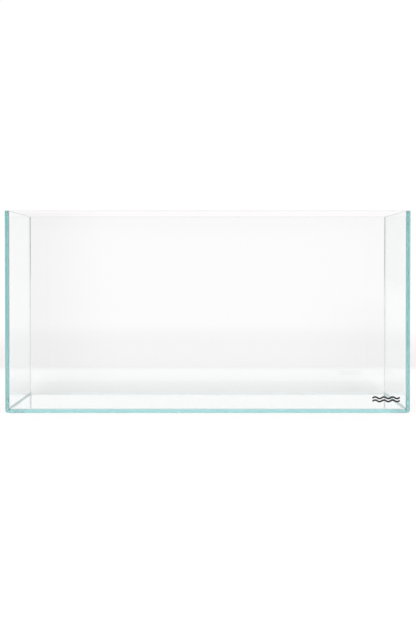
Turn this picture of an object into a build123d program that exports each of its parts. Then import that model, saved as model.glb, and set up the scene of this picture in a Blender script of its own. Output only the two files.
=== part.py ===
"""Rimless glass aquarium tank.

Five glass panes stand on one flat plane. The front and rear panes run the full width and cover the
ends of the side panes, and the floor pane lies between the four walls. Nothing but silicone holds the
tank together: a thin film in every joint, and a tooled bead along every inner corner.

The origin is the middle of the footprint, on the surface that the tank stands on. +X runs along the
width, -Y is the front and +Z is up. All sizes are in millimetres.
"""

import os

from build123d import *

# --- Driving dimensions -------------------------------------------------------------------------------

TANK_WIDTH = 900.0  # over the side panes' outer faces
TANK_DEPTH = 450.0  # over the front and rear panes' outer faces
TANK_HEIGHT = 450.0  # from the resting plane to the rim

WALL_GLASS = 8.0  # thickness of the four walls
FLOOR_GLASS = 8.0  # thickness of the floor pane
ARRIS = 0.8  # leg of the 45 degree bevel ground on every long glass edge
FOOT_RADIUS = 7.0  # lower corners of the front and rear panes, dubbed so that they can't chip
SIDE_FOOT_RADIUS = 4.0  # lower corners of the side panes, which the front and rear panes shield

BOND = 1.0  # silicone film between two panes
BEAD_GRIP = 1.2  # how far an inner bead reaches past the arris of the pane that it seals

MARK_LENGTH = 62.0  # printed wave mark, over its rounded ends
MARK_STROKE = 3.8  # width of one printed line
MARK_CRESTS = 3  # whole waves in each line
MARK_WAVE_HEIGHT = 1.8  # rise of one half wave above its chord
MARK_LINE_PITCH = 6.8  # from one printed line down to the next
MARK_LINES = 2
MARK_THICKNESS = 0.2  # fired enamel, standing on the glass
MARK_FROM_SIDE = 22.0  # from the tank's right side to the mark's right end
MARK_FROM_BASE = 30.5  # from the resting plane up to the mark's middle

# --- What follows from them ---------------------------------------------------------------------------

INNER_X = TANK_WIDTH / 2 - WALL_GLASS  # inner face of a side pane
INNER_Y = TANK_DEPTH / 2 - WALL_GLASS  # inner face of the front or rear pane
EDGE_X = INNER_X - BOND  # edge of the floor pane, one film short of a side pane
EDGE_Y = INNER_Y - BOND  # end of a side pane and edge of the floor pane, one film short of the rear pane
BEAD_LEG = BOND + ARRIS + BEAD_GRIP  # from the inner corner to the bead's edge, along either face

parts = {}


def ground_pane(face_plane, width, height, thickness, foot_radius=0.0):
    """A pane behind the given face, with its long edges ground and its lower corners dubbed if asked."""
    outline = Rectangle(width, height)
    if foot_radius:
        outline = fillet(outline.vertices().sort_by(Axis.Y)[:2], foot_radius)
    pane = extrude(face_plane * outline, -thickness)
    broad_faces = pane.faces().sort_by(SortBy.AREA)[-2:]
    return chamfer(broad_faces.edges(), ARRIS)


def block(x_range, y_range, z_range):
    """A box between the given limits on each axis."""
    ranges = (x_range, y_range, z_range)
    lengths = [high - low for low, high in ranges]
    middle = tuple((low + high) / 2 for low, high in ranges)
    return Pos(*middle) * Box(*lengths)


def bead_run(corner_plane, length):
    """A straight inner bead.

    The plane's origin is the corner of two glass faces. Its x axis runs along the face of the pane that
    passes the joint, and its y axis along the face of the pane that butts against it, one film away.
    The bead's face is hollow, as a round tool leaves it, and its root fills the arris in the joint.
    """
    root = Polyline(
        (BEAD_LEG, 0),
        (-ARRIS, 0),
        (-ARRIS, BOND),
        (0, BOND + ARRIS),
        (0, BEAD_LEG),
    )
    hollow_face = CenterArc((BEAD_LEG, BEAD_LEG), BEAD_LEG, 180, 90)
    return extrude(corner_plane * make_face([root, hollow_face]), length)


def four_corners(rear_right):
    """A rear right piece and its mirror images, keyed by the corner that each one belongs to."""
    rear_left = mirror(rear_right, about=Plane.YZ)
    return {
        "rear_right": rear_right,
        "rear_left": rear_left,
        "front_right": mirror(rear_right, about=Plane.XZ),
        "front_left": mirror(rear_left, about=Plane.XZ),
    }


# --- Glass --------------------------------------------------------------------------------------------

half_height = TANK_HEIGHT / 2

front_face = Plane.XZ.offset(TANK_DEPTH / 2).shift_origin((0, -TANK_DEPTH / 2, half_height))
parts["front_pane"] = ground_pane(front_face, TANK_WIDTH, TANK_HEIGHT, WALL_GLASS, FOOT_RADIUS)
parts["rear_pane"] = mirror(parts["front_pane"], about=Plane.XZ)

right_face = Plane.YZ.offset(TANK_WIDTH / 2).shift_origin((TANK_WIDTH / 2, 0, half_height))
parts["right_pane"] = ground_pane(right_face, 2 * EDGE_Y, TANK_HEIGHT, WALL_GLASS, SIDE_FOOT_RADIUS)
parts["left_pane"] = mirror(parts["right_pane"], about=Plane.YZ)

floor_top = Plane.XY.offset(FLOOR_GLASS)
parts["floor_pane"] = ground_pane(floor_top, 2 * EDGE_X, 2 * EDGE_Y, FLOOR_GLASS)

# --- Silicone films in the joints ---------------------------------------------------------------------
# A film lies between the flats of two panes, so it ends where their arrises and dubbed corners begin.

rear_flat = parts["rear_pane"].faces().sort_by(Axis.Y)[0]
rear_joint = extrude(rear_flat, BOND)

upright_film = rear_joint & block(
    (INNER_X + ARRIS, TANK_WIDTH / 2 - ARRIS),
    (EDGE_Y, INNER_Y),
    (SIDE_FOOT_RADIUS, TANK_HEIGHT - ARRIS),
)
for corner, film in four_corners(upright_film).items():
    parts[f"{corner}_upright_bond"] = film

floor_flat = (ARRIS, FLOOR_GLASS - ARRIS)
upright_film_side = INNER_X + ARRIS
rear_film = rear_joint & block((-upright_film_side, upright_film_side), (EDGE_Y, INNER_Y), floor_flat)
right_film = block((EDGE_X, INNER_X), (-EDGE_Y, EDGE_Y), floor_flat)
parts["rear_floor_bond"] = rear_film
parts["front_floor_bond"] = mirror(rear_film, about=Plane.XZ)
parts["right_floor_bond"] = right_film
parts["left_floor_bond"] = mirror(right_film, about=Plane.YZ)

# --- Silicone beads along the inner corners -----------------------------------------------------------


def floor_bead(length, wall_distance):
    """The bead at the foot of the wall on the +Y side, its ends mitred to meet the next two beads."""
    start = Plane(origin=(-length / 2, wall_distance, FLOOR_GLASS), x_dir=(0, 0, 1), z_dir=(1, 0, 0))
    reach = 2 * BEAD_LEG
    plan = Polyline(
        (-length / 2, wall_distance),
        (length / 2, wall_distance),
        (length / 2 - reach, wall_distance - reach),
        (reach - length / 2, wall_distance - reach),
        close=True,
    )
    mitre = extrude(make_face(plan), FLOOR_GLASS + reach)
    return bead_run(start, length) & mitre


parts["rear_floor_bead"] = floor_bead(2 * INNER_X, INNER_Y)
parts["front_floor_bead"] = mirror(parts["rear_floor_bead"], about=Plane.XZ)
parts["right_floor_bead"] = Rot(0, 0, -90) * floor_bead(2 * INNER_Y, INNER_X)
parts["left_floor_bead"] = mirror(parts["right_floor_bead"], about=Plane.YZ)

# The upright beads are run last, so their lower ends lie on the floor beads.
upright_foot = FLOOR_GLASS - ARRIS
upright_start = Plane(origin=(INNER_X, INNER_Y, upright_foot), x_dir=(-1, 0, 0), z_dir=(0, 0, 1))
upright_bead = bead_run(upright_start, TANK_HEIGHT - ARRIS - upright_foot)
for below in ("floor_pane", "rear_floor_bead", "right_floor_bead"):
    upright_bead -= parts[below]
for corner, bead in four_corners(upright_bead).items():
    parts[f"{corner}_upright_bead"] = bead

# --- Printed mark on the front pane -------------------------------------------------------------------


def wave_line(height):
    """One printed line of equal arcs, alternately up and down, with its middle at the given height."""
    half_waves = 2 * MARK_CRESTS
    span = MARK_LENGTH - MARK_STROKE
    step = span / half_waves
    arcs = []
    for i in range(half_waves):
        start = (i * step - span / 2, height)
        end = ((i + 1) * step - span / 2, height)
        rise = MARK_WAVE_HEIGHT if i % 2 == 0 else -MARK_WAVE_HEIGHT
        arcs.append(SagittaArc(start, end, rise))
    line = Wire(arcs)
    rounded_ends = [Pos(x, height) * Circle(MARK_STROKE / 2) for x in (-span / 2, span / 2)]
    return trace(line, MARK_STROKE) + rounded_ends


mark_x = TANK_WIDTH / 2 - MARK_FROM_SIDE - MARK_LENGTH / 2
mark_plane = Plane(origin=(mark_x, -TANK_DEPTH / 2, MARK_FROM_BASE), x_dir=(1, 0, 0), z_dir=(0, -1, 0))
top_line = MARK_LINE_PITCH * (MARK_LINES - 1) / 2
wave_lines = [wave_line(top_line - i * MARK_LINE_PITCH) for i in range(MARK_LINES)]
parts["printed_mark"] = Compound([extrude(mark_plane * line, MARK_THICKNESS) for line in wave_lines])

# --- Files --------------------------------------------------------------------------------------------

os.makedirs("parts", exist_ok=True)
for name, part in parts.items():
    export_step(part, f"parts/{name}.step")
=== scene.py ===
"""A rimless glass aquarium: five low-iron panes held together by clear silicone, and a printed mark."""

import math

import bmesh
import bpy
from mathutils import Matrix, Vector, noise


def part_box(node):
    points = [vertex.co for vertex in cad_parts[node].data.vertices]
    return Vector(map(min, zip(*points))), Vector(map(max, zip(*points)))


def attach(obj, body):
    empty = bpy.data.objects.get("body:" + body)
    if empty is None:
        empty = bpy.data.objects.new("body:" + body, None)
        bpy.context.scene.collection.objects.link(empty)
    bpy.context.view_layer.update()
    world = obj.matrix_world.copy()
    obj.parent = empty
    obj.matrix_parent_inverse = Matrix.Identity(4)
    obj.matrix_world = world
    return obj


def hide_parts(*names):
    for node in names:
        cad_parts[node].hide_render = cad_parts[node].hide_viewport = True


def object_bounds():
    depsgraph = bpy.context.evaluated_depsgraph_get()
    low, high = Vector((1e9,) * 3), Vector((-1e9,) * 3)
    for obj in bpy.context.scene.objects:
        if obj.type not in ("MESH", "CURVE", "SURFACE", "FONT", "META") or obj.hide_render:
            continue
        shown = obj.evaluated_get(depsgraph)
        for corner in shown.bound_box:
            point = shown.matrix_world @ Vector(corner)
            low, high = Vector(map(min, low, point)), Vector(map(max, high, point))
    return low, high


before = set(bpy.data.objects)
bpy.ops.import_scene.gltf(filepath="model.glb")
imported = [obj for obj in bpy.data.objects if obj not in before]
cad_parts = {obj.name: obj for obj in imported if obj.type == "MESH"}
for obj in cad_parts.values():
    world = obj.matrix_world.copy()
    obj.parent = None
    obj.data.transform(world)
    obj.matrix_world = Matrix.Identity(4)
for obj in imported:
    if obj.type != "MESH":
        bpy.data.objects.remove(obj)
cad_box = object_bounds()


# --- Glass panes ----------------------------------------------------------------------------------------
# Five sheets of low-iron float glass. Each is cut to size, its edges are ground and polished with a narrow
# arris, and the lower corners of the walls are dubbed on a belt, because they take the knocks. The floor
# pane lies between the walls, and the front and rear panes cover the ends of the side panes.

MM = 0.001

ARRIS = 0.8 * MM
FOOT_RADIUS = 7.0 * MM
SIDE_FOOT_RADIUS = 4.0 * MM
FOOT_SEGMENTS = 10
SHARP_ANGLE = math.radians(25)
FLAT_WEIGHT = 100  # a corner is shaded as the largest face that meets there
POLISH = 0.02 * MM  # the pane's faces stand this far inside the CAD solid, clear of the mark printed on it
RUBBED = 0.3  # share of the grinding marks that is left on the lower edges
SQUARE = 0.99  # a face looks along an axis if that part of its normal is larger than this
ALONG = 0.9  # an edge runs along an axis if that part of its direction is larger than this
LOOKS_DOWN = -0.1  # a face looks down if its normal's Z is smaller than this

GLASS_IOR = 1.52
GLASS_TINT = (0.12, 0.91, 0.905, 1.0)
TINT_DENSITY = 2.4


def edit(piece, select_mode="VERT"):
    """Opens one piece, and nothing else, in edit mode with nothing selected, and gives its bmesh."""
    if bpy.context.object and bpy.context.object.mode == "EDIT":
        bpy.ops.object.mode_set(mode="OBJECT")
    bpy.ops.object.select_all(action="DESELECT")
    piece.select_set(True)
    bpy.context.view_layer.objects.active = piece
    bpy.ops.object.mode_set(mode="EDIT")
    bpy.ops.mesh.select_mode(type=select_mode)
    bpy.ops.mesh.select_all(action="DESELECT")
    return bmesh.from_edit_mesh(piece.data)


def select_edges(piece, wanted):
    """Selects the edges of one piece for which wanted(middle, direction) holds."""
    mesh = edit(piece, "EDGE")
    for edge in mesh.edges:
        start, end = (vertex.co for vertex in edge.verts)
        edge.select_set(wanted((start + end) / 2, (end - start).normalized()))
    bmesh.update_edit_mesh(piece.data)


def add_block(name, low, high):
    """A cube drawn out between two corners, with its place in its mesh."""
    bpy.ops.object.select_all(action="DESELECT")
    bpy.ops.mesh.primitive_cube_add(size=1, location=(low + high) / 2, scale=high - low)
    block = bpy.context.object
    block.name = block.data.name = name
    bpy.ops.object.transform_apply(location=True, rotation=True, scale=True)
    return block


def smooth_rounded_edges(piece):
    """Smooth shading on the rounded edges, weighted so that the flat faces stay flat."""
    bpy.ops.object.mode_set(mode="OBJECT")
    bpy.ops.object.shade_smooth_by_angle(angle=SHARP_ANGLE)
    weighting = piece.modifiers.new("flat faces", "WEIGHTED_NORMAL")
    weighting.keep_sharp = True
    weighting.weight = FLAT_WEIGHT
    bpy.ops.object.modifier_apply(modifier=weighting.name)


def ground_pane(node, across, foot_radius=0.0, bonded=()):
    """A pane in the place of a CAD node. across is the axis of its thickness, and bonded holds the axes of
    its glued edges: 0 for X, 1 for Y and 2 for Z."""
    low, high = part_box(node)
    low = low + Vector((POLISH, POLISH, POLISH))
    high = high - Vector((POLISH, POLISH, POLISH))
    pane = add_block(node + "_glass", low, high)
    if foot_radius:
        mid_height = (low.z + high.z) / 2
        select_edges(pane, lambda middle, way: abs(way[across]) > ALONG and middle.z < mid_height)
        bpy.ops.mesh.bevel(offset=foot_radius, segments=FOOT_SEGMENTS, affect="EDGES")
    centre = (low[across] + high[across]) / 2
    half_thickness = (high[across] - low[across]) / 2
    select_edges(pane, lambda middle, way: abs(abs(middle[across] - centre) - half_thickness) < POLISH)
    bpy.ops.mesh.bevel(offset=ARRIS, segments=1, affect="EDGES")
    smooth_rounded_edges(pane)

    ground = pane.data.attributes.new("ground", "FLOAT", "FACE")
    clear_faces = (across, *bonded)
    for face, share in zip(pane.data.polygons, ground.data):
        if any(abs(face.normal[axis]) > SQUARE for axis in clear_faces):
            share.value = 0.0
        elif face.normal.z < LOOKS_DOWN:
            share.value = RUBBED
        else:
            share.value = 1.0
    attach(pane, "root")
    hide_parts(node)
    return pane


panes = [
    ground_pane("front_pane", across=1, foot_radius=FOOT_RADIUS),
    ground_pane("rear_pane", across=1, foot_radius=FOOT_RADIUS),
    ground_pane("left_pane", across=0, foot_radius=SIDE_FOOT_RADIUS, bonded=(1,)),
    ground_pane("right_pane", across=0, foot_radius=SIDE_FOOT_RADIUS, bonded=(1,)),
    ground_pane("floor_pane", across=2, bonded=(0, 1)),
]


class Socket:
    """A socket of a node tree. Maths signs on it add Math nodes, and node() adds any other node."""

    def __init__(self, tree, output=None):
        self.tree = tree
        self.output = output

    def node(self, kind, settings=None, inputs=None, output=0):
        """Adds a node, sets its settings and then its inputs, and gives one of its outputs. An input is a
        value or a Socket."""
        made = self.tree.nodes.new("ShaderNode" + kind)
        for name, value in (settings or {}).items():
            setattr(made, name, value)
        for name, value in (inputs or {}).items():
            if isinstance(value, Socket):
                self.tree.links.new(value.output, made.inputs[name])
            else:
                made.inputs[name].default_value = value
        return Socket(self.tree, made.outputs[output])

    def maths(self, operation, *values):
        return self.node("Math", {"operation": operation}, dict(enumerate(values)))

    def __add__(self, other):
        return self.maths("ADD", self, other)

    def __radd__(self, other):
        return self.maths("ADD", other, self)

    def __rsub__(self, other):
        return self.maths("SUBTRACT", other, self)

    def __mul__(self, other):
        return self.maths("MULTIPLY", self, other)

    def __rmul__(self, other):
        return self.maths("MULTIPLY", other, self)

    def to(self, socket):
        """Links this to the socket of an output node."""
        self.tree.links.new(self.output, socket)


def new_finish(name):
    """An empty material, its tree as a Socket to start from, and its output node."""
    finish = bpy.data.materials.new(name)
    finish.use_nodes = True
    finish.node_tree.nodes.clear()
    out = finish.node_tree.nodes.new("ShaderNodeOutputMaterial")
    return finish, Socket(finish.node_tree), out


def low_iron_glass():
    """Clear glass that turns green-blue with depth. The bare edges are satin from the grinding wheel, and
    the glued ones look clear, because silicone fills the marks. The faces have faint wipe marks."""
    finish, tree, out = new_finish("low_iron_glass")
    place = tree.node("TexCoord", output="Object")
    along_wipes = tree.node("Mapping", inputs={"Vector": place, "Scale": (3.0, 3.0, 9.0)})
    wipe_marks = tree.node("TexNoise", inputs={"Vector": along_wipes, "Scale": 2.0, "Detail": 4.0})
    float_waves = tree.node("TexNoise", inputs={"Vector": place, "Scale": 5.0, "Detail": 0.0})
    wheel_marks = tree.node("TexNoise", inputs={"Vector": place, "Scale": 400.0, "Detail": 3.0})
    ground = tree.node("Attribute", {"attribute_name": "ground"}, output="Fac")
    polished = 0.004 + 0.02 * wipe_marks
    satin = 0.28 + 0.2 * wheel_marks
    relief = float_waves + ground * wheel_marks
    bump = tree.node("Bump", inputs={"Height": relief, "Strength": 0.1, "Distance": 0.0002})
    glass = tree.node(
        "BsdfPrincipled",
        inputs={
            "Base Color": (1.0, 1.0, 1.0, 1.0),
            "Roughness": polished + ground * satin,
            "IOR": GLASS_IOR,
            "Transmission Weight": 1.0,
            "Normal": bump,
        },
    )
    tint = tree.node("VolumeAbsorption", inputs={"Color": GLASS_TINT, "Density": TINT_DENSITY})
    glass.to(out.inputs["Surface"])
    tint.to(out.inputs["Volume"])
    return finish


glass_finish = low_iron_glass()
for pane in panes:
    pane.data.materials.append(glass_finish)


# --- Silicone films -------------------------------------------------------------------------------------
# A millimetre of clear silicone in every joint. It is pressed out flat between two panes, so it is nearly
# as clear as they are, and its outer edge is trimmed back to the arris with a blade.

CORNERS = ("rear_right", "rear_left", "front_right", "front_left")
TRIMMED_EDGE = 0.25 * MM
TRIM_SEGMENTS = 3
WETTING = 0.1 * MM  # the most that silicone swells into what it wets, so that light passes straight on

SILICONE_IOR = 1.41
# Painted shade: the upright films are greyer along their inner edge, for the grey line that the joint draws.
PAINTED_SHADE_EDGE = (443.2 * MM, 444.6 * MM)  # from the tank's middle: the grey of an upright film ends here
UPRIGHT_TINT = (0.98, 0.99, 0.99)
PAINTED_SHADE_TINT = (0.50, 0.52, 0.52)
FLOOR_TINT = (0.97, 0.90, 0.91)
SIDE_TINT = (0.70, 0.76, 0.76)


def wet_out(piece):
    """Swells a silicone piece a little into the glass round it."""
    swelling = piece.modifiers.new("wetting", "DISPLACE")
    swelling.mid_level = 0.0
    swelling.strength = WETTING
    bpy.ops.object.modifier_apply(modifier=swelling.name)


def pressed_film(node):
    """A film in the place of a CAD node."""
    low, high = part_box(node)
    film = add_block(node + "_silicone", low, high)
    _, wide, run = sorted(range(3), key=lambda axis: high[axis] - low[axis])
    tank_middle = sum(cad_box, Vector()) / 2
    side = (low + high) / 2 - tank_middle
    outer = high[wide] if side[wide] > 0 else low[wide]
    select_edges(film, lambda middle, way: abs(way[run]) > ALONG and abs(middle[wide] - outer) < TRIMMED_EDGE)
    bpy.ops.mesh.bevel(offset=TRIMMED_EDGE, segments=TRIM_SEGMENTS, affect="EDGES")
    bpy.ops.object.mode_set(mode="OBJECT")
    wet_out(film)
    smooth_rounded_edges(film)
    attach(film, "root")
    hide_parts(node)
    return film


upright_films = [pressed_film(f"{corner}_upright_bond") for corner in CORNERS]
floor_films = [pressed_film(f"{wall}_floor_bond") for wall in ("front", "rear")]
side_films = [pressed_film(f"{wall}_floor_bond") for wall in ("left", "right")]


def ease(tree, value, start, end):
    """0 before start and 1 after end, with a smooth turn between them."""
    limits = {"Value": value, "From Min": start, "From Max": end}
    return tree.node("MapRange", {"interpolation_type": "SMOOTHSTEP"}, limits)


def blend(tree, share, first, second):
    """A colour between two others, each given as three numbers or as a Socket."""
    first, second = (tone if isinstance(tone, Socket) else (*tone, 1.0) for tone in (first, second))
    inputs = {"Factor": share, "A": first, "B": second}
    return tree.node("Mix", {"data_type": "RGBA"}, inputs, output="Result")


def pressed_silicone(name, tint, inner_shade_tint=None):
    """Clear silicone, a little cloudier in some places than in others. In the upright joints it is greyer
    along the inner edge. That grey is a painted shade that stands for the grey line the joint draws as it
    bends the light."""
    finish, tree, out = new_finish(name)
    place = tree.node("TexCoord", output="Object")
    cloud = tree.node("TexNoise", inputs={"Vector": place, "Scale": 60.0, "Detail": 3.0})
    colour = (*tint, 1.0)
    # Painted shade: the upright films are greyer along their inner edge.
    if inner_shade_tint:
        aside = tree.node("SeparateXYZ", inputs={"Vector": place}, output="X")
        outwards = ease(tree, tree.maths("ABSOLUTE", aside), *PAINTED_SHADE_EDGE)
        colour = blend(tree, outwards, inner_shade_tint, tint)
    silicone = tree.node(
        "BsdfPrincipled",
        inputs={
            "Base Color": colour,
            "Roughness": 0.01 + 0.05 * cloud,
            "IOR": SILICONE_IOR,
            "Transmission Weight": 1.0,
        },
    )
    silicone.to(out.inputs["Surface"])
    return finish


upright_film_finish = pressed_silicone("upright_film_silicone", UPRIGHT_TINT, inner_shade_tint=PAINTED_SHADE_TINT)
floor_film_finish = pressed_silicone("floor_film_silicone", FLOOR_TINT)
side_film_finish = pressed_silicone("side_film_silicone", SIDE_TINT)
for films, finish in (
    (upright_films, upright_film_finish),
    (floor_films, floor_film_finish),
    (side_films, side_film_finish),
):
    for film in films:
        film.data.materials.append(finish)


# --- Silicone beads -------------------------------------------------------------------------------------
# The inner seal. A bead is run into each corner and tooled hollow with a round stick, which leaves its edges
# a little uneven. The floor beads meet in mitres, and the upright beads, run last, end on them. All cure
# nearly clear, and draw thin grey lines because they bend the light.

BEAD_LEG = 3.0 * MM
BOND = 1.0 * MM
TOOL_STEPS = 8
BEAD_STEP = 15 * MM
WANDER = 0.10  # how far a bead's size strays along its length, as a share
WANDER_LENGTH = 40 * MM
TOUCHING = ARRIS / 10  # points nearer to each other than this are one

inner_corner = Vector((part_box("right_pane")[0].x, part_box("rear_pane")[0].y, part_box("floor_pane")[1].z))
upright_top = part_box("rear_right_upright_bead")[1].z


def select_vertex(piece, place):
    """Selects the vertex of one piece at the given place."""
    mesh = edit(piece)
    for vertex in mesh.verts:
        vertex.select_set((vertex.co - Vector(place)).length < TOUCHING)
    bmesh.update_edit_mesh(piece.data)


def tooled_bead(name, length, wander_from):
    """A bead from the origin up the Z axis. It lies on a pane below it that passes the joint, and on the
    face of a pane to its left that stops a film short of the first. Its size strays in another way for
    each wander_from."""
    bpy.ops.object.select_all(action="DESELECT")
    bpy.ops.mesh.primitive_plane_add(size=BEAD_LEG, location=(BEAD_LEG / 2, BEAD_LEG / 2, 0))
    bead = bpy.context.object
    bead.name = bead.data.name = name
    bpy.ops.object.transform_apply(location=True, rotation=True, scale=True)

    # The square's outer corner goes, and the tool's arc takes its place.
    select_vertex(bead, (BEAD_LEG, BEAD_LEG, 0))
    bpy.ops.mesh.delete(type="VERT")
    select_vertex(bead, (BEAD_LEG, 0, 0))
    tool_centre = (BEAD_LEG, BEAD_LEG, 0)
    bpy.ops.mesh.spin(steps=TOOL_STEPS, angle=math.radians(90), center=tool_centre, axis=(0, 0, 1))
    bpy.ops.mesh.select_all(action="SELECT")
    bpy.ops.mesh.remove_doubles(threshold=TOUCHING)
    bpy.ops.mesh.edge_face_add()

    # The root is drawn out of the left side, into the space between the two panes and along their arrises.
    root_top = BOND + ARRIS
    bpy.ops.mesh.bisect(plane_co=(0, root_top, 0), plane_no=(0, 1, 0))
    select_edges(bead, lambda middle, way: abs(middle.x) < TOUCHING and middle.y < root_top)
    bpy.ops.mesh.extrude_edges_move(TRANSFORM_OT_translate={"value": (-ARRIS, 0, 0)})
    select_vertex(bead, (-ARRIS, root_top, 0))
    bpy.ops.transform.translate(value=(0, -ARRIS, 0))
    bpy.ops.mesh.select_all(action="SELECT")
    bpy.ops.mesh.dissolve_faces()

    # The section is drawn up in short steps, each a little larger or smaller than the last. The ends keep
    # their size, because other beads meet them.
    bpy.ops.mesh.select_mode(type="FACE")
    bpy.ops.mesh.select_all(action="SELECT")
    steps = round(length / BEAD_STEP)
    size = 1.0
    for step in range(1, steps + 1):
        height = length * step / steps
        bpy.ops.mesh.extrude_region_move(TRANSFORM_OT_translate={"value": (0, 0, length / steps)})
        stray = noise.noise(Vector((wander_from, 0, height / WANDER_LENGTH)))
        freedom = math.sqrt(math.sin(math.pi * step / steps))
        new_size = 1.0 + WANDER * stray * freedom
        bpy.ops.transform.resize(value=(new_size / size, new_size / size, 1), center_override=(0, 0, height))
        size = new_size
    bpy.ops.mesh.select_all(action="SELECT")
    bpy.ops.mesh.normals_make_consistent(inside=False)
    bpy.ops.object.mode_set(mode="OBJECT")
    return bead


def lay(bead, corner, x_way, z_way):
    """Turns a bead so that its X and Z axes point the given ways, and moves its foot to a corner."""
    x_way, z_way = Vector(x_way), Vector(z_way)
    turned = Matrix((x_way, z_way.cross(x_way), z_way)).transposed()
    bead.matrix_world = Matrix.Translation(corner) @ turned.to_4x4()
    bpy.ops.object.transform_apply(location=True, rotation=True, scale=True)


def mitre(bead, corner, way_out):
    """Cuts a bead at 45 degrees through a corner and closes the cut. way_out points off the bead's end."""
    edit(bead)
    bpy.ops.mesh.select_all(action="SELECT")
    bpy.ops.mesh.bisect(plane_co=corner, plane_no=way_out, use_fill=True, clear_outer=True)
    bpy.ops.object.mode_set(mode="OBJECT")


def mirrored(bead, name, axis):
    """A copy of a bead on the other side of the tank, with its own mesh."""
    bpy.ops.object.select_all(action="DESELECT")
    bead.select_set(True)
    bpy.context.view_layer.objects.active = bead
    bpy.ops.object.duplicate()
    copy = bpy.context.object
    copy.name = copy.data.name = name
    copy.scale[axis] = -1
    bpy.ops.object.transform_apply(location=True, rotation=True, scale=True)
    edit(copy)
    bpy.ops.mesh.select_all(action="SELECT")
    bpy.ops.mesh.normals_make_consistent(inside=False)
    bpy.ops.object.mode_set(mode="OBJECT")
    return copy


across, back, up = inner_corner
rear_left_corner = Vector((-across, back, up))
front_right_corner = Vector((across, -back, up))

rear_floor_bead = tooled_bead("rear_floor_bead_silicone", 2 * across, wander_from=3.0)
lay(rear_floor_bead, rear_left_corner, x_way=(0, 0, 1), z_way=(1, 0, 0))
mitre(rear_floor_bead, inner_corner, way_out=(1, -1, 0))
mitre(rear_floor_bead, rear_left_corner, way_out=(-1, -1, 0))

right_floor_bead = tooled_bead("right_floor_bead_silicone", 2 * back, wander_from=7.0)
lay(right_floor_bead, inner_corner, x_way=(0, 0, 1), z_way=(0, -1, 0))
mitre(right_floor_bead, inner_corner, way_out=(-1, 1, 0))
mitre(right_floor_bead, front_right_corner, way_out=(-1, -1, 0))

upright_bead = tooled_bead("rear_right_upright_bead_silicone", upright_top - up, wander_from=11.0)
lay(upright_bead, inner_corner, x_way=(-1, 0, 0), z_way=(0, 0, 1))
for below in (rear_floor_bead, right_floor_bead):
    trimming = upright_bead.modifiers.new("end", "BOOLEAN")
    trimming.operation = "DIFFERENCE"
    trimming.solver = "EXACT"
    trimming.object = below
    bpy.context.view_layer.objects.active = upright_bead
    bpy.ops.object.modifier_apply(modifier=trimming.name)

beads = {
    "rear_floor_bead": rear_floor_bead,
    "front_floor_bead": mirrored(rear_floor_bead, "front_floor_bead_silicone", axis=1),
    "right_floor_bead": right_floor_bead,
    "left_floor_bead": mirrored(right_floor_bead, "left_floor_bead_silicone", axis=0),
    "rear_right_upright_bead": upright_bead,
    "rear_left_upright_bead": mirrored(upright_bead, "rear_left_upright_bead_silicone", axis=0),
    "front_right_upright_bead": mirrored(upright_bead, "front_right_upright_bead_silicone", axis=1),
}
beads["front_left_upright_bead"] = mirrored(
    beads["rear_left_upright_bead"], "front_left_upright_bead_silicone", axis=1
)


def bead_silicone():
    """Cured silicone in a thicker body: a little hazy, with a soft shine and a few streaks from the tool."""
    finish, tree, out = new_finish("bead_silicone")
    place = tree.node("TexCoord", output="Object")
    cloud = tree.node("TexNoise", inputs={"Vector": place, "Scale": 45.0, "Detail": 4.0})
    streaks = tree.node("TexNoise", inputs={"Vector": place, "Scale": 700.0, "Detail": 2.0})
    bump = tree.node("Bump", inputs={"Height": streaks, "Strength": 0.25, "Distance": 0.0001})
    silicone = tree.node(
        "BsdfPrincipled",
        inputs={
            "Base Color": (0.97, 0.98, 0.98, 1.0),
            "Roughness": 0.02 + 0.06 * cloud,
            "IOR": SILICONE_IOR,
            "Transmission Weight": 1.0,
            "Normal": bump,
        },
    )
    silicone.to(out.inputs["Surface"])
    return finish


bead_finish = bead_silicone()
for node, bead in beads.items():
    bpy.ops.object.select_all(action="DESELECT")
    bead.select_set(True)
    bpy.context.view_layer.objects.active = bead
    wet_out(bead)
    bpy.ops.object.shade_smooth_by_angle(angle=SHARP_ANGLE)
    bead.data.materials.append(bead_finish)
    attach(bead, "root")
    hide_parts(node)


# --- Printed mark ---------------------------------------------------------------------------------------
# Two small waves of black enamel, screen-printed low on the front pane and fired on. The CAD solid has their
# shape, and keeps it: only the finish is added.

ENAMEL_IOR = 1.5


def fired_enamel():
    """Nearly black enamel with the fine pitted shine that firing leaves."""
    finish, tree, out = new_finish("fired_enamel")
    place = tree.node("TexCoord", output="Object")
    pits = tree.node("TexNoise", inputs={"Vector": place, "Scale": 1500.0, "Detail": 2.0})
    patches = tree.node("TexNoise", inputs={"Vector": place, "Scale": 120.0, "Detail": 3.0})
    bump = tree.node("Bump", inputs={"Height": pits, "Strength": 0.3, "Distance": 0.00005})
    thin = (0.016, 0.017, 0.018)
    thick = (0.006, 0.006, 0.007)
    enamel = tree.node(
        "BsdfPrincipled",
        inputs={
            "Base Color": blend(tree, patches, thin, thick),
            "Roughness": 0.24 + 0.18 * patches,
            "IOR": ENAMEL_IOR,
            "Normal": bump,
        },
    )
    enamel.to(out.inputs["Surface"])
    return finish


mark = bpy.data.objects["printed_mark"]
mark_finish = fired_enamel()
for slot in mark.material_slots:
    slot.material = mark_finish


# --- Studio ---------------------------------------------------------------------------------------------
# The tank stands on a wide opal table, lit from below, in front of a bright wall. The other walls are darker,
# and a dark flag stands at each side of the bright one, so that corners and rims draw thin grey lines. A low
# screen of thin cloth hangs inside each flag, and dims the wall a little behind each side pane. On the table,
# that shade and the tank's shadow behind it are painted into the glow.

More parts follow.
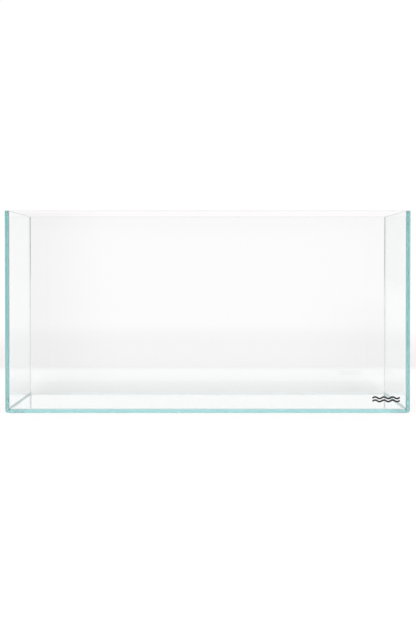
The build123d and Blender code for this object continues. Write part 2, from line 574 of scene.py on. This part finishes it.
# Each edge in the tent is where a soft turn starts and ends, as a part of a unit direction from the tank:
# aside, away from the front, or up.
BACK_TONE = (1.055, 1.02, 1.02)
SIDE_TONE = (0.45, 0.45, 0.45)
FAR_TABLE_TONE = (0.72, 0.72, 0.72)
BACK_EDGE = (0.35, 0.85)  # away
SKYLINE = (0.01, 0.045)  # up
ROOF_LIGHT = 0.1
ROOF_EDGE = (0.3, 0.7)  # up

FLAG_SHADE = 0.9
FLAG_INNER_EDGE = (0.42, 0.58)  # aside
FLAG_OUTER_EDGE = (0.92, 0.98)  # aside
FLAG_NEAR_EDGE = (0.05, 0.2)  # away
FLAG_TOP = (0.35, 0.6)  # up

SCREEN_SHADES = (0.075, 0.015)  # left and right
SCREEN_INNER_EDGE = (0.055, 0.113)  # aside
SCREEN_OUTER_EDGE = (0.121, 0.126)  # aside
SCREEN_NEAR_EDGE = (0.0, 0.5)  # away
SCREEN_TOP = (0.0325, 0.0345)  # up


def parts_of(tree, vector):
    """The three parts of a vector: aside, away and up."""
    return [tree.node("SeparateXYZ", inputs={"Vector": vector}, output=axis) for axis in ("X", "Y", "Z")]


def surroundings(tree, way, elsewhere):
    """The colour met in a direction from the tank: BACK_TONE behind it and another tone elsewhere."""
    _, away, _ = parts_of(tree, way)
    return blend(tree, ease(tree, away, *BACK_EDGE), elsewhere, BACK_TONE)


def white_tent():
    """The walls and roof round the table, with the flags and the screens."""
    world = bpy.data.worlds.new("tent")
    world.use_nodes = True
    world.node_tree.nodes.clear()
    out = world.node_tree.nodes.new("ShaderNodeOutputWorld")
    tree = Socket(world.node_tree)
    way = tree.node("TexCoord", output="Generated")
    aside, away, rise = parts_of(tree, way)
    side_walls = blend(tree, ease(tree, rise, *SKYLINE), FAR_TABLE_TONE, SIDE_TONE)
    walls = surroundings(tree, way, side_walls)
    light = 1.0 + ROOF_LIGHT * ease(tree, rise, *ROOF_EDGE)
    wide = tree.maths("ABSOLUTE", aside)
    flags = ease(tree, wide, *FLAG_INNER_EDGE) * (1.0 - ease(tree, wide, *FLAG_OUTER_EDGE))
    flags = flags * ease(tree, away, *FLAG_NEAR_EDGE) * (1.0 - ease(tree, rise, *FLAG_TOP))
    light = light * (1.0 - FLAG_SHADE * flags)
    for outwards, shade in zip((-1.0 * aside, aside), SCREEN_SHADES):
        screen = ease(tree, outwards, *SCREEN_INNER_EDGE) * (1.0 - ease(tree, outwards, *SCREEN_OUTER_EDGE))
        screen = screen * ease(tree, away, *SCREEN_NEAR_EDGE) * (1.0 - ease(tree, rise, *SCREEN_TOP))
        light = light * (1.0 - shade * screen)
    tree.node("Background", inputs={"Color": walls, "Strength": light}).to(out.inputs["Surface"])
    return world


bpy.context.scene.world = white_tent()

# Each edge on the table is where a soft turn starts and ends, in metres from the tank's middle.
TABLE_SIZE = 60.0
TABLE_DROP = 0.5 * MM
OPAL_TONES = ((0.19, 0.19, 0.19), (0.21, 0.21, 0.21))
OPAL_ROUGHNESS = 0.8
OPAL_LIGHT = (1.0, 0.975, 0.972)
OPAL_GLOW = 0.83
BLACK = (0.0, 0.0, 0.0)

# Painted shade in the table's glow: the tank's shadow behind it, and the screens' bands at each side.
TANK_SHADE = 0.21
TANK_SHADE_START = (0.2, 0.32)  # away
TANK_SHADE_END = (0.1, 1.7)  # away
TANK_SHADE_SIDE = (0.40, 0.54)  # aside

BAND_SHADES = (0.075, 0.045)  # left and right, near the tank, of the bands that run out to the screens
BAND_INNER_EDGE = (0.17, 0.42)  # aside
BAND_OUTER_EDGE = (0.458, 0.488)  # aside
BAND_NEAR_END = (0.1, 0.3)  # away
BAND_FAR_TURN = (3.0, 15.0)  # away: here a band's shade turns into its screen's

TABLE_EDGE = (2.6, 3.8)  # the glow ends here, at the sides and in front
BACK_TABLE_EDGE = (1.15, 1.45)  # away: the glow ends here, behind the tank
BACKGROUND_DIM = 0.87  # brightness of the table just past the glow, as a share of the wall's
BACKGROUND_TURN = (1.45, 5.5)  # the table turns as bright as the wall here

bpy.ops.object.select_all(action="DESELECT")
bpy.ops.mesh.primitive_plane_add(size=TABLE_SIZE, location=(0, 0, -TABLE_DROP))
table = bpy.context.object
table.name = table.data.name = "table"
bpy.ops.object.transform_apply(location=True, rotation=True, scale=True)


def opal_table():
    """A matt white sheet with a faint glow from below, which fades into the tent round it."""
    finish, tree, out = new_finish("opal_table")
    place = tree.node("TexCoord", output="Object")
    mottle = tree.node("TexNoise", inputs={"Vector": place, "Scale": 40.0, "Detail": 3.0})
    aside, away, _ = parts_of(tree, place)

    # The tank's shadow on the table behind it is painted into the glow, and so is the screens' shade, in a
    # band at each side.
    shaded = ease(tree, away, *TANK_SHADE_START) * (1.0 - ease(tree, away, *TANK_SHADE_END))
    shaded = shaded * (1.0 - ease(tree, tree.maths("ABSOLUTE", aside), *TANK_SHADE_SIDE))
    lit = 1.0 - TANK_SHADE * shaded
    far_off = ease(tree, away, *BAND_FAR_TURN)
    for outwards, shade, far_shade in zip((-1.0 * aside, aside), BAND_SHADES, SCREEN_SHADES):
        inner_edge = [foot + away * spread for foot, spread in zip(BAND_INNER_EDGE, SCREEN_INNER_EDGE)]
        outer_edge = [foot + away * spread for foot, spread in zip(BAND_OUTER_EDGE, SCREEN_OUTER_EDGE)]
        band = ease(tree, outwards, *inner_edge) * (1.0 - ease(tree, outwards, *outer_edge))
        band = band * ease(tree, away, *BAND_NEAR_END)
        lit = lit * (1.0 - band * (shade + (far_shade - shade) * far_off))

    sheet = tree.node(
        "BsdfPrincipled",
        inputs={
            "Base Color": blend(tree, mottle, *OPAL_TONES),
            "Roughness": OPAL_ROUGHNESS,
            "Emission Color": blend(tree, lit, BLACK, OPAL_LIGHT),
            "Emission Strength": OPAL_GLOW,
        },
    )
    distance = tree.node("VectorMath", {"operation": "LENGTH"}, {0: place}, output="Value")
    way_out = tree.node("VectorMath", {"operation": "NORMALIZE"}, {0: place})
    far_tone = surroundings(tree, way_out, FAR_TABLE_TONE)
    brightness = BACKGROUND_DIM + (1.0 - BACKGROUND_DIM) * ease(tree, distance, *BACKGROUND_TURN)
    far = tree.node("Emission", inputs={"Color": blend(tree, brightness * lit, BLACK, far_tone)})
    fade = tree.maths("MAXIMUM", ease(tree, distance, *TABLE_EDGE), ease(tree, away, *BACK_TABLE_EDGE))
    tree.node("MixShader", inputs={0: fade, 1: sheet, 2: far}).to(out.inputs["Surface"])
    return finish


table.data.materials.append(opal_table())


def softbox(name, place, target, size, power):
    """A square lamp with a soft front, aimed at a point."""
    bpy.ops.object.light_add(type="AREA", location=place)
    lamp = bpy.context.object
    lamp.name = lamp.data.name = name
    lamp.data.size = size
    lamp.data.energy = power
    lamp.rotation_euler = (Vector(target) - Vector(place)).to_track_quat("-Z", "Y").to_euler()


softbox("key_softbox", place=(0.0, -1.3, 2.2), target=(0.0, -0.5, 0.0), size=2.0, power=26.0)
softbox("left_softbox", place=(-3.0, -1.0, 1.8), target=(0.0, 0.0, 0.2), size=1.6, power=6.0)

# The camera is low, on the middle of the front pane, with a long lens. Light that enters an edge of a pane
# is thrown from face to face along its whole length, so it has to be followed through many turns.
CAMERA_PLACE = (-1.0 * MM, -3.7546, 0.3271)
CAMERA_TILT = 1.66  # degrees below level
CAMERA_TURN = -0.03  # degrees to the left of straight ahead
SENSOR_WIDTH = 36.0
LENS = 91.73
LIGHT_TURNS = 128

bpy.ops.object.camera_add(location=CAMERA_PLACE)
camera = bpy.context.object
camera.rotation_euler = (math.radians(90 - CAMERA_TILT), 0, math.radians(CAMERA_TURN))
camera.data.sensor_width = SENSOR_WIDTH
camera.data.lens = LENS
bpy.context.scene.camera = camera

bpy.context.scene.view_settings.view_transform = "Standard"
bpy.context.scene.cycles.max_bounces = LIGHT_TURNS
bpy.context.scene.cycles.transmission_bounces = LIGHT_TURNS
bpy.context.scene.cycles.glossy_bounces = LIGHT_TURNS
